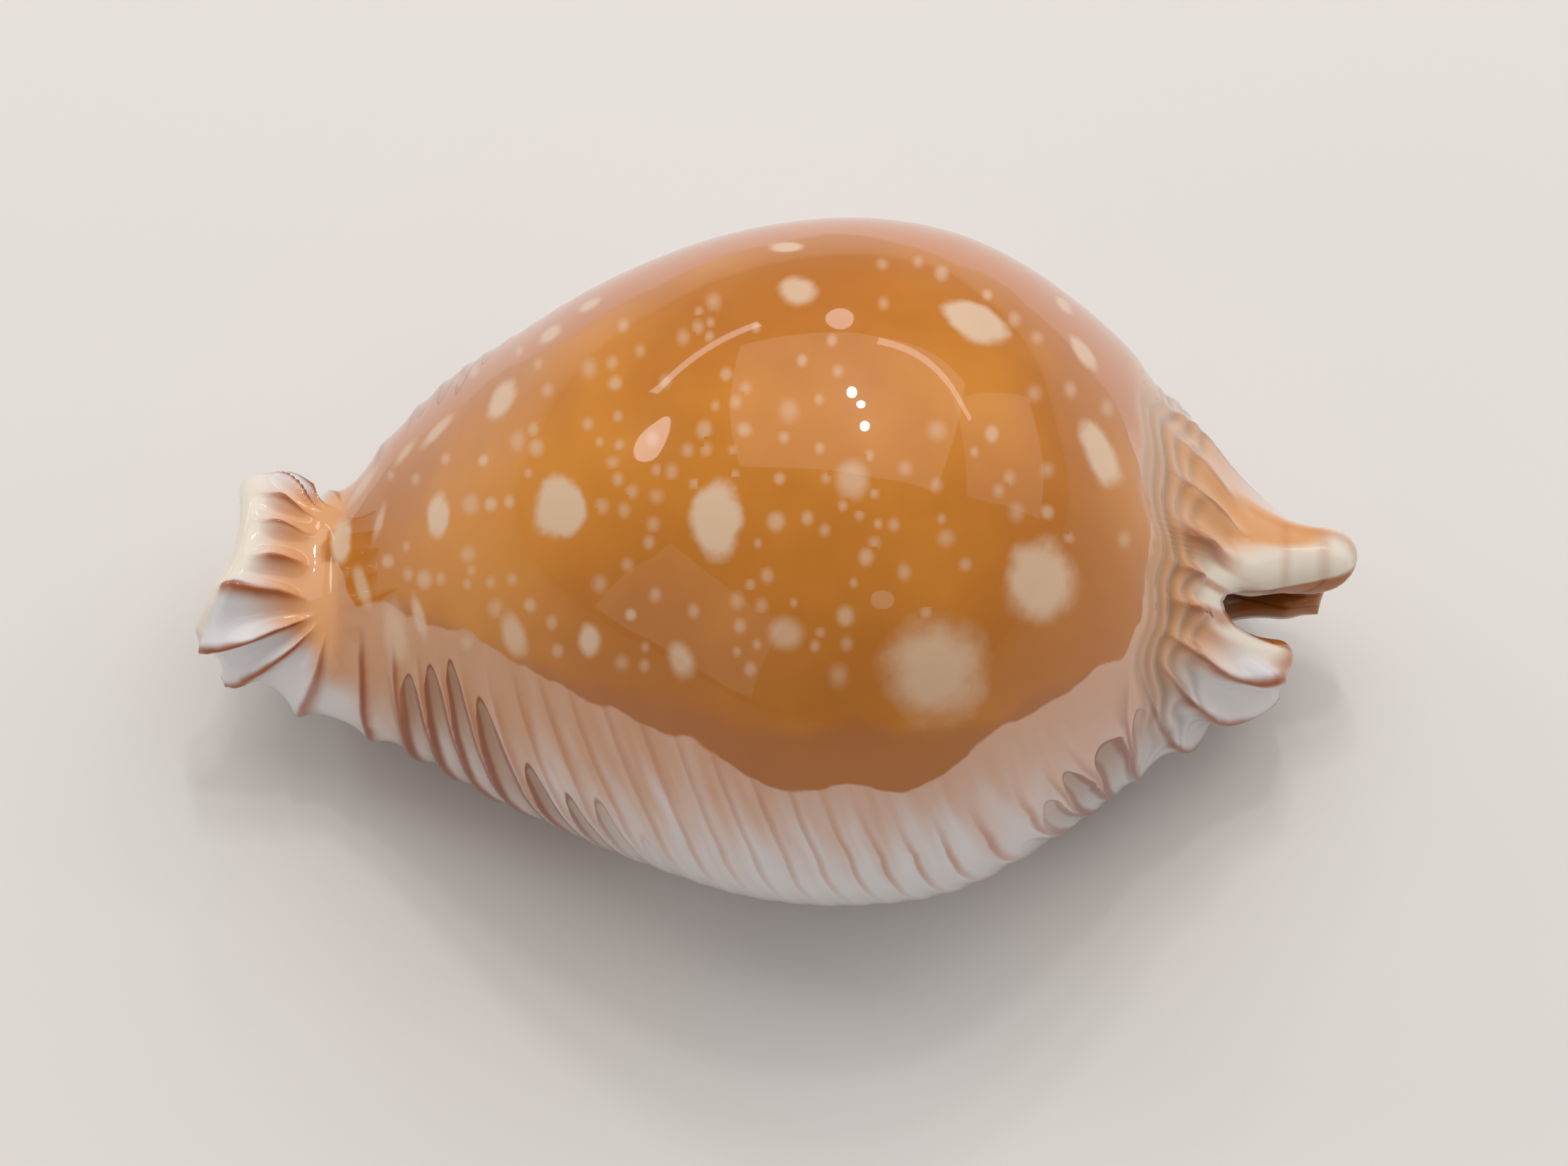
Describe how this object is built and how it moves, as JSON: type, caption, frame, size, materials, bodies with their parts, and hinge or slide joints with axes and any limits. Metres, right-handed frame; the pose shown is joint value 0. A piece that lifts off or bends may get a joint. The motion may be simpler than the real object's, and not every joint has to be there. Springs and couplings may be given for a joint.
{
  "type": "great spotted cowrie shell",
  "caption": "Great spotted cowrie shell: glossy orange back with cream spots, pale ribbed margin and a toothed slit below.",
  "frame": {"origin": "bottom centre of the shell's bounding box, on the surface that it rests on", "axes": "+X towards the posterior end, +Y towards the outer lip, +Z towards the back of the shell"},
  "size_m": [0.0626, 0.0364, 0.032],
  "materials": {
    "shell": "gloss"
  },
  "bodies": {
    "root": {"shell": "shell"}
  },
  "joints": []
}
